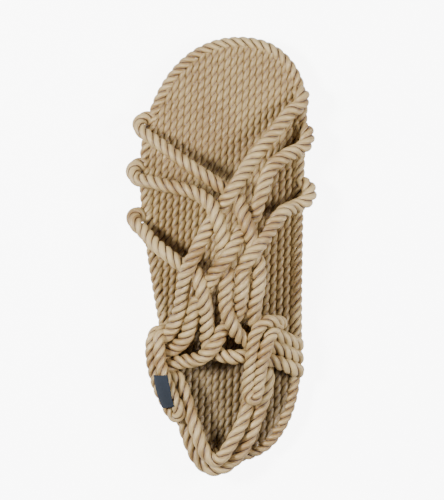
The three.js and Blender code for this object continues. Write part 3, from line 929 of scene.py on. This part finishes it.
def speckle_group():
    """Fine grain and soft wear of rubber and cloth."""
    tree = bpy.data.node_groups.new("soft_speckle", "ShaderNodeTree")
    socket(tree, "Light", "Color", (0.6, 0.5, 0.35, 1))
    socket(tree, "Shade", "Color", (0.4, 0.3, 0.2, 1))
    socket(tree, "Grains per metre", "Float", 1500.0)
    socket(tree, "Color", "Color", output=True)
    socket(tree, "Height", "Float", output=True)
    given = add(tree, "NodeGroupInput").outputs
    where = add(tree, "ShaderNodeTexCoord").outputs["Object"]
    grain = add(
        tree, "ShaderNodeTexNoise", {"Vector": where, "Scale": given["Grains per metre"], "Detail": 4.0}
    ).outputs[0]
    cloud = add(tree, "ShaderNodeTexNoise", {"Vector": where, "Scale": 30.0, "Detail": 3.0}).outputs[0]
    tint = calc(tree, "ADD", calc(tree, "MULTIPLY", grain, 0.5), calc(tree, "MULTIPLY", cloud, 0.5))
    body = blend_colour(tree, ramp(tree, tint, 0.38, 0.62), given["Light"], given["Shade"])
    add(tree, "NodeGroupOutput", {"Color": body, "Height": grain})
    return tree


def shared(name, build):
    return bpy.data.node_groups.get(name) or build()


def new_material(name):
    material = bpy.data.materials.new(name)
    material.use_nodes = True
    tree = material.node_tree
    return material, tree, tree.nodes["Principled BSDF"]


def cord_material(name, light, shade, groove_shade, groove_from, bump, heel_shade_share=1.0):
    """Twisted fibre, with painted shade that darkens it towards the heel down to the given share."""
    material, tree, surface = new_material(name)
    fibre = add(tree, "ShaderNodeGroup", node_tree=shared("cord_fibre", cord_fibre_group))
    fibre.inputs["Light"].default_value = light
    fibre.inputs["Shade"].default_value = shade
    fibre.inputs["Groove shade"].default_value = groove_shade
    fibre.inputs["Groove from"].default_value = groove_from
    relief = add(
        tree, "ShaderNodeBump", {"Height": fibre.outputs["Height"], "Distance": bump, "Strength": 1.0}
    )
    where = add(tree, "ShaderNodeTexCoord").outputs["Object"]
    along = add(tree, "ShaderNodeSeparateXYZ", {0: where}).outputs["Y"]
    # Painted shade: darker from the middle of the sole back towards the heel, where the light falls
    # off.
    heel_shade = ramp(tree, along, 0.0, to_point(0, 0.5).y, heel_shade_share, 1.0)
    tree.links.new(scaled(tree, fibre.outputs["Color"], heel_shade), surface.inputs["Base Color"])
    tree.links.new(fibre.outputs["Roughness"], surface.inputs["Roughness"])
    tree.links.new(relief.outputs[0], surface.inputs["Normal"])
    surface.inputs["Specular IOR Level"].default_value = 0.65
    return material


def speckled_material(name, light, shade, grains, bump, roughness):
    material, tree, surface = new_material(name)
    grain = add(tree, "ShaderNodeGroup", node_tree=shared("soft_speckle", speckle_group))
    grain.inputs["Light"].default_value = light
    grain.inputs["Shade"].default_value = shade
    grain.inputs["Grains per metre"].default_value = grains
    relief = add(
        tree, "ShaderNodeBump", {"Height": grain.outputs["Height"], "Distance": bump, "Strength": 1.0}
    )
    tree.links.new(grain.outputs["Color"], surface.inputs["Base Color"])
    tree.links.new(relief.outputs[0], surface.inputs["Normal"])
    surface.inputs["Roughness"].default_value = roughness
    return material


# What a user would change


def length_property(name, description, default):
    return FloatProperty(
        name=name, description=description, default=default, min=0.001, unit="LENGTH"
    )


def colour_property(name, description, *shown):
    return FloatVectorProperty(
        name=name, description=description, default=colour(*shown), size=4, subtype="COLOR"
    )


class SandalRopes(bpy.types.PropertyGroup):
    diameter: length_property(
        "Rope diameter", "Thickness of the straps' ropes", 0.0095
    )
    lay: length_property(
        "Lay", "Length of one turn of a strand in the straps' ropes", 0.0187
    )
    rim_lay: length_property(
        "Rim lay", "Length of one turn of a strand in the rim rope", 0.0172
    )
    loose_lay: length_property(
        "Loose lay", "Length of one turn of a strand in the heel strap, where the rope is slack", 0.0235
    )
    strands: IntProperty(
        name="Strands", description="Strands in each rope", default=3, min=2, max=5
    )
    groove: FloatProperty(
        name="Groove",
        description="Depth of the grooves between strands, as a share of the rope's radius",
        default=0.38,
        min=0.0,
        max=0.9,
        subtype="FACTOR",
    )


class SandalFootbed(bpy.types.PropertyGroup):
    pitch_toe: length_property(
        "Pitch at the toe", "Distance of the footbed's cords at the toe", 0.00395
    )
    pitch_heel: length_property(
        "Pitch at the heel", "Distance of the footbed's cords at the heel", 0.0044
    )
    lay: length_property(
        "Cord lay", "Length of one turn of a strand in the footbed's cords", 0.0123
    )
    brick: FloatVectorProperty(
        name="Brick",
        description="Length, width and depth of the tread's bricks",
        default=(0.0037, 0.003, 0.0009),
        unit="LENGTH",
    )


class SandalColours(bpy.types.PropertyGroup):
    rope: colour_property(
        "Rope", "Colour of the ropes where they are palest", 188, 163, 114
    )
    rope_shade: colour_property(
        "Rope shade", "Darker colour of the ropes' fibres", 138, 107, 62
    )
    cord: colour_property(
        "Footbed cord", "Colour of the footbed's cords", 158, 132, 84
    )
    cord_shade: colour_property(
        "Footbed shade", "Darker colour of the footbed's cords", 138, 110, 66
    )
    # Painted shade at the bottom of the footbed cords' grooves
    cord_groove_shade: colour_property(
        "Footbed groove", "Colour at the bottom of the footbed cords' grooves", 96, 68, 38
    )
    # Painted shade at the bottom of the ropes' grooves
    groove_shade: colour_property(
        "Groove", "Colour at the bottom of the grooves", 62, 38, 16
    )
    rubber: colour_property(
        "Rubber", "Colour of the outsole", 172, 140, 104
    )
    label: colour_property(
        "Label", "Colour of the label's cloth", 23, 33, 46
    )


def rope_material(kind):
    """The fibre of the ropes or of the footbed's cords, made once."""
    found = bpy.data.materials.get(kind)
    if found:
        return found
    colours = bpy.context.scene.sandal_colours
    if kind == "footbed_fibre":
        # The footbed's cords carry painted shade, darker towards the heel.
        return cord_material(
            kind, colours.cord, colours.cord_shade, colours.cord_groove_shade, 0.8, 0.0002, heel_shade_share=0.58
        )
    return cord_material(kind, colours.rope, colours.rope_shade, colours.groove_shade, 0.78, 0.00025)


def rubber_material():
    rubber = bpy.context.scene.sandal_colours.rubber
    return bpy.data.materials.get("sole_rubber") or speckled_material(
        "sole_rubber", rubber, dim(rubber, 0.82), 2400.0, 0.00012, 0.78
    )


def lay_ropes(name, paths, slot, nodes, material, closed=False, **changes):
    """Lays ropes along paths and makes them one piece."""
    ropes = bpy.context.scene.sandal_ropes
    values = {
        "Width": ropes.diameter,
        "Height": ropes.diameter,
        "Lay": ropes.lay,
        "Groove": ropes.groove,
        "Roundness": 2.6,
        "Step": 0.0009,
        "Strands": ropes.strands,
        "Sides": 27,
        "Material": material,
    }
    phases = changes.pop("phases", None)
    girths = changes.pop("girths", None)
    values.update(changes)
    source = paths_object(name + "_paths", paths, closed, phases, girths)
    tree = shared("laid_rope", laid_rope_tree)
    piece = apply_nodes(source, tree, values, name)
    outward(piece.data)
    smooth(piece.data)
    finish_piece(piece, nodes)
    return piece


# One operator for each piece or group of like pieces


class SANDAL_OT_outsole(bpy.types.Operator):
    """Makes the rubber outsole with its tread of small bricks"""

    bl_idname = "sandal.outsole"
    bl_label = "Outsole"

    def execute(self, context):
        footbed = context.scene.sandal_footbed
        depth = footbed.brick[2]
        bevel = OUTSOLE_BEVEL
        sections = []
        for left, right, y, base in stations(edge(OUTSOLE_INSET), 90, 0.0008):
            bottom = base + depth * BRICK_SHOWN
            top = base + OUTSOLE_THICKNESS
            sections.append(
                [
                    (left + bevel, y, bottom),
                    (left + bevel * 0.3, y, bottom + bevel * 0.3),
                    (left, y, bottom + bevel),
                    (left, y, top - bevel * 0.4),
                    (left + bevel * 0.4, y, top),
                    (right - bevel * 0.4, y, top),
                    (right, y, top - bevel * 0.4),
                    (right, y, bottom + bevel),
                    (right - bevel * 0.3, y, bottom + bevel * 0.3),
                    (right - bevel, y, bottom),
                ]
            )
        lofted_piece("outsole_body", sections, rubber_material(), "outsole")

        # The bricks stand in rows that slant across the sole, each row set off by half
        inner = edge(OUTSOLE_INSET + TREAD_MARGIN)
        step = footbed.brick[0] + BRICK_GAP[0]
        row_step = footbed.brick[1] + BRICK_GAP[1]
        slant = TREAD_SLANT
        points = []
        for row in range(-90, 91):
            for place in range(-70, 71):
                x = (place + 0.5 * (row % 2)) * step
                y = row * row_step
                spot = Vector(
                    (
                        x * math.cos(slant) - y * math.sin(slant) + TREAD_CENTRE[0],
                        x * math.sin(slant) + y * math.cos(slant) + TREAD_CENTRE[1],
                        0,
                    )
                )
                sides = span(inner, spot.y)
                if sides and sides[0] < spot.x < sides[1]:
                    spot.z = lift(to_along(spot.y))
                    points.append(spot)
        source = new_object("tread_points", new_mesh("tread_points", points, []))
        tread = apply_nodes(
            source,
            shared("brick_tread", tread_tree),
            {"Brick size": tuple(footbed.brick), "Turn": slant, "Material": rubber_material()},
            "outsole_tread",
        )
        outward(tread.data)
        finish_piece(tread, ["outsole"])
        return {"FINISHED"}


class SANDAL_OT_footbed(bpy.types.Operator):
    """Makes the footbed of twisted cords side by side, on a backing coloured dark as painted shade
    between the cords
    """

    bl_idname = "sandal.footbed"
    bl_label = "Footbed"

    def execute(self, context):
        footbed = context.scene.sandal_footbed
        room = edge(RIM_WIDTH * 0.62)
        fitted = edge(RIM_WIDTH + 0.0006)
        rear, front = 0.26, 0.76
        heelward = span(fitted, to_point(0, rear).y)[1]
        toeward = span(fitted, to_point(0, front).y)[1]
        slope = (toeward - heelward) / (front - rear)

        def pitch(along):
            return footbed.pitch_heel + along * (footbed.pitch_toe - footbed.pitch_heel)

        paths, phases, girths = [], [], []
        steps = 240
        for number in range(-1, 32):
            path, girth = [], []
            for i in range(1, steps):
                along = i / steps
                y = to_point(0, along).y
                x = heelward + (along - rear) * slope - (number + 0.5) * pitch(along)
                sides = span(room, y)
                if sides and sides[0] < x < sides[1]:
                    height = FOOTBED_TOP - CORD_SUNK + lift(along)
                    path.append(Vector((x, y, height)))
                    girth.append(pitch(along) / footbed.pitch_toe)
            if len(path) > FEWEST_CORD_POINTS:
                paths.append(path)
                girths.append(girth)
                phases.append((path[0].y + 1) / footbed.lay + 0.13 * math.sin(number * 2.1))
        lay_ropes(
            "footbed_cords",
            paths,
            "footbed_cord",
            ["footbed"],
            rope_material("footbed_fibre"),
            phases=phases,
            girths=girths,
            Width=CORD_THICKNESS,
            Height=footbed.pitch_toe * CORD_OVERLAP,
            Lay=footbed.lay,
            Groove=0.34,
            Roundness=2.0,
            Step=0.0012,
            Strands=2,
            Sides=16,
        )

        sections = []
        for left, right, y, base in stations(edge(RIM_WIDTH * 0.8), 60, 0.001):
            low = FOOTBED_BOTTOM + base
            high = FOOTBED_TOP - BACKING_SUNK + base
            sections.append([(left, y, low), (left, y, high), (right, y, high), (right, y, low)])
        # Painted shade: the backing is dark so that the gaps between the cords read as shadow.
        groove_shade = context.scene.sandal_colours.groove_shade
        cloth = speckled_material("backing_painted_shade", groove_shade, dim(groove_shade, 0.6), 1800.0, 0.0001, 0.95)
        lofted_piece("footbed_backing", sections, cloth, "footbed")
        return {"FINISHED"}


class SANDAL_OT_rim(bpy.types.Operator):
    """Lays the rim rope round the footbed"""

    bl_idname = "sandal.rim"
    bl_label = "Rim rope"

    def execute(self, context):
        path = []
        for point in edge(RIM_WIDTH / 2):
            height = FOOTBED_BOTTOM + RIM_HEIGHT / 2 + lift(to_along(point.y))
            path.append(Vector((point.x, point.y, height)))
        length = sum((b - a).length for a, b in zip(path, path[1:] + path[:1]))
        lay = length / round(length / context.scene.sandal_ropes.rim_lay)
        lay_ropes(
            "rim_rope_strands",
            [path],
            "rim_rope",
            ["rim_rope"],
            rope_material("rope_fibre"),
            closed=True,
            Width=RIM_HEIGHT,
            Height=RIM_WIDTH * 1.04,
            Lay=lay,
        )
        return {"FINISHED"}


class SANDAL_OT_straps(bpy.types.Operator):
    """Lays the six strap ropes that cross over the instep"""

    bl_idname = "sandal.straps"
    bl_label = "Straps"

    def execute(self, context):
        paths = [route(rows) for rows in STRAPS.values()]
        girths = []
        for name, path in zip(STRAPS, paths):
            taut = TAUT_GIRTH[name]
            shares = [min(1.0, TAUT_PART * i / len(path)) for i in range(len(path))]
            girths.append([taut + (1 - taut) * share * share for share in shares])
        lay_ropes(
            "strap_ropes",
            paths,
            "strap_rope",
            ["upper_straps"],
            rope_material("rope_fibre"),
            phases=[0.0, 0.35, 0.1, 0.6, 0.25, 0.8],
            girths=girths,
        )
        return {"FINISHED"}


class SANDAL_OT_loops(bpy.types.Operator):
    """Lays the doubled rope loop at each side of the ankle"""

    bl_idname = "sandal.loops"
    bl_label = "Ankle loops"

    def execute(self, context):
        for side, (phase, width) in LOOP_ROPES.items():
            lay_ropes(
                side + "_loop_rope",
                [route(LOOPS[side])],
                "strap_rope",
                [side + "_ankle_loop"],
                rope_material("rope_fibre"),
                phases=[phase],
                Width=width,
                Height=width,
            )
        return {"FINISHED"}


class SANDAL_OT_heel_strap(bpy.types.Operator):
    """Lays the heel strap's two ropes"""

    bl_idname = "sandal.heel_strap"
    bl_label = "Heel strap"

    def execute(self, context):
        lay_ropes(
            "heel_strap_ropes",
            [route(rows) for rows in HEEL_STRAP.values()],
            "strap_rope",
            ["heel_strap"],
            rope_material("rope_fibre"),
            phases=[0.4, 0.9],
            Width=HEEL_ROPE,
            Height=HEEL_ROPE,
            Lay=context.scene.sandal_ropes.loose_lay,
        )
        return {"FINISHED"}


class SANDAL_OT_label(bpy.types.Operator):
    """Makes the bare cloth label over the outer loop's two ropes"""

    bl_idname = "sandal.label"
    bl_label = "Label"

    def execute(self, context):
        path = route(LOOPS["outer"])
        lengths = [0.0]
        for a, b in zip(path, path[1:]):
            lengths.append(lengths[-1] + (b - a).length)

        def at(share):
            goal = share * lengths[-1]
            place = next(i for i, length in enumerate(lengths[1:]) if length >= goal)
            part = (goal - lengths[place]) / (lengths[place + 1] - lengths[place])
            return path[place].lerp(path[place + 1], part)

        rows, columns = 24, 12
        vertices = []
        for i in range(rows + 1):
            share = i / rows
            low = at(0.255 + share * 0.165)
            high = at(0.735 - share * 0.16)
            ahead = (at(0.26 + share * 0.165) - at(0.25 + share * 0.165)).normalized()
            width = (high - low).normalized()
            up = width.cross(ahead).normalized()
            if up.z < 0:
                up.negate()
            start = low + width * (0.0036 - 0.0034 * share)
            end = high + width * (0.0062 - 0.0049 * share)
            for k in range(columns + 1):
                part = k / columns
                crown = 0.0007 * math.sin(math.pi * part) + 0.0043
                edge_drop = 0.0008 * max(0.0, abs(2 * part - 1) - 0.75) / 0.25
                vertices.append(start.lerp(end, part) + up * (crown - edge_drop))
        wide = columns + 1
        faces = [
            (i * wide + k, i * wide + k + 1, (i + 1) * wide + k + 1, (i + 1) * wide + k)
            for i in range(rows)
            for k in range(columns)
        ]
        mesh = new_mesh("label_tab", vertices, faces)
        label = new_object("label_tab", mesh)
        if sum(polygon.normal.z for polygon in mesh.polygons) < 0:
            mesh.flip_normals()
        thick = label.modifiers.new("thickness", "SOLIDIFY")
        thick.thickness = LABEL_THICKNESS
        thick.offset = 1.0
        rounded = label.modifiers.new("edges", "BEVEL")
        rounded.width = 0.00025
        rounded.segments = 2
        blue = context.scene.sandal_colours.label
        mesh.materials.append(
            speckled_material("label_weave", blue, dim(blue, 0.6), 3000.0, 0.00015, 0.85)
        )
        smooth(mesh)
        finish_piece(label, ["label"])
        return {"FINISHED"}


class SANDAL_OT_stage(bpy.types.Operator):
    """Makes the pale floor, the soft lights and the camera"""

    bl_idname = "sandal.stage"
    bl_label = "Stage"

    def execute(self, context):
        scene = context.scene
        mesh = new_mesh("floor", [(-3, -3, 0), (3, -3, 0), (3, 3, 0), (-3, 3, 0)], [(0, 1, 2, 3)])
        floor = new_object("floor", mesh)
        paint, tree, surface = new_material("floor_paint")
        surface.inputs["Base Color"].default_value = (0.92, 0.92, 0.92, 1.0)
        surface.inputs["Roughness"].default_value = 0.9
        glow = add(tree, "ShaderNodeEmission", {"Strength": 7.0})
        lit = add(tree, "ShaderNodeAddShader", {0: surface.outputs[0], 1: glow.outputs[0]})
        seen = add(tree, "ShaderNodeLightPath").outputs["Is Camera Ray"]
        shown = add(tree, "ShaderNodeMixShader", {0: seen, 1: surface.outputs[0], 2: lit.outputs[0]})
        tree.links.new(shown.outputs[0], tree.nodes["Material Output"].inputs["Surface"])
        mesh.materials.append(paint)

        for name, place, size, power in (
            ("key_light", (-0.9, 0.2, 1.1), 0.35, 36.0),
            ("fill_light", (0.95, 0.25, 1.0), 0.6, 24.0),
            ("back_light", (0.1, -0.8, 1.6), 0.8, 3.0),
        ):
            light = bpy.data.lights.new(name, "AREA")
            light.shape = "DISK"
            light.size = size
            light.energy = power
            lamp = bpy.data.objects.new(name, light)
            lamp.location = place
            aim = Vector((-0.01, 0.09, 0.0)) - lamp.location
            lamp.rotation_euler = aim.to_track_quat("-Z", "Y").to_euler()
            scene.collection.objects.link(lamp)

        world = bpy.data.worlds.new("studio")
        world.use_nodes = True
        world.node_tree.nodes["Background"].inputs["Color"].default_value = (1.0, 1.0, 1.0, 1.0)
        world.node_tree.nodes["Background"].inputs["Strength"].default_value = 0.06
        scene.world = world

        lens = bpy.data.cameras.new("camera")
        lens.sensor_width = 36.0
        lens.lens = 288.0
        lens.clip_end = 20.0
        camera = bpy.data.objects.new("camera", lens)
        camera.location = (-0.0126, 0.0927, 2.52)
        camera.rotation_euler = (0.0, 0.0, math.radians(4.5))
        scene.collection.objects.link(camera)
        scene.camera = camera
        return {"FINISHED"}


OPERATORS = (
    SANDAL_OT_outsole,
    SANDAL_OT_footbed,
    SANDAL_OT_rim,
    SANDAL_OT_straps,
    SANDAL_OT_loops,
    SANDAL_OT_heel_strap,
    SANDAL_OT_label,
    SANDAL_OT_stage,
)


class SANDAL_PT_pieces(bpy.types.Panel):
    """Lists the sandal's pieces and sizes"""

    bl_idname = "SANDAL_PT_pieces"
    bl_label = "Rope sandal"
    bl_space_type = "VIEW_3D"
    bl_region_type = "UI"
    bl_category = "Rope sandal"

    def draw(self, context):
        layout = self.layout
        for group in (
            context.scene.sandal_ropes,
            context.scene.sandal_footbed,
            context.scene.sandal_colours,
        ):
            for name in group.__annotations__:
                layout.prop(group, name)
        for operator in OPERATORS:
            layout.operator(operator.bl_idname)


CLASSES = (SandalRopes, SandalFootbed, SandalColours, *OPERATORS, SANDAL_PT_pieces)


def register():
    for item in CLASSES:
        bpy.utils.register_class(item)
    bpy.types.Scene.sandal_ropes = PointerProperty(type=SandalRopes)
    bpy.types.Scene.sandal_footbed = PointerProperty(type=SandalFootbed)
    bpy.types.Scene.sandal_colours = PointerProperty(type=SandalColours)


def unregister():
    for name in ("sandal_ropes", "sandal_footbed", "sandal_colours"):
        delattr(bpy.types.Scene, name)
    for item in reversed(CLASSES):
        bpy.utils.unregister_class(item)


def main():
    register()
    bpy.ops.sandal.stage()
    bpy.ops.sandal.outsole()
    bpy.ops.sandal.footbed()
    bpy.ops.sandal.rim()
    bpy.ops.sandal.straps()
    bpy.ops.sandal.loops()
    bpy.ops.sandal.heel_strap()
    bpy.ops.sandal.label()


if __name__ == "__main__":
    main()
